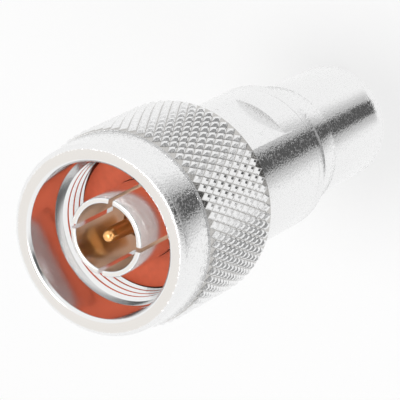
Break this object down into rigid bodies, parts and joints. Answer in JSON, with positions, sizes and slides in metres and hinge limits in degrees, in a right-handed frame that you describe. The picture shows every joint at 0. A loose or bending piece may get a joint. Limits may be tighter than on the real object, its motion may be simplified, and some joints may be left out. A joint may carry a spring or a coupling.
{
  "type": "coaxial cable plug",
  "caption": "Straight coaxial plug with a knurled coupling nut, red face gasket, slotted outer contact, gold centre pin and a crimped cable end.",
  "frame": {"origin": "centre of the cable end's face, on the plug's axis", "axes": "+Z along the plug's axis towards the mating end; -Y towards the side with the visible wrench flat"},
  "size_m": [0.021, 0.021, 0.0497],
  "materials": {
    "silver_plate": "satin silver plating on turned brass",
    "spring_ring": "plain spring bronze",
    "gold_plate": "polished gold plating",
    "silicone": "matt moulded silicone rubber",
    "ptfe": "matt turned fluoropolymer"
  },
  "bodies": {
    "body": {"shell": "silver_plate", "retaining_ring": "spring_ring", "face_gasket": "silicone", "outer_contact": "silver_plate", "centre_pin": "gold_plate", "front_bead": "ptfe", "rear_bead": "ptfe", "cable_barrel": "silver_plate", "crimp_ferrule": "silver_plate"},
    "nut": {"coupling_nut": "silver_plate"}
  },
  "joints": [
    {"name": "nut_spin", "type": "hinge", "parent": "body", "child": "nut", "pos_m": [0, 0, 0.04], "axis": [0, 0, 1], "continuous": true}
  ]
}
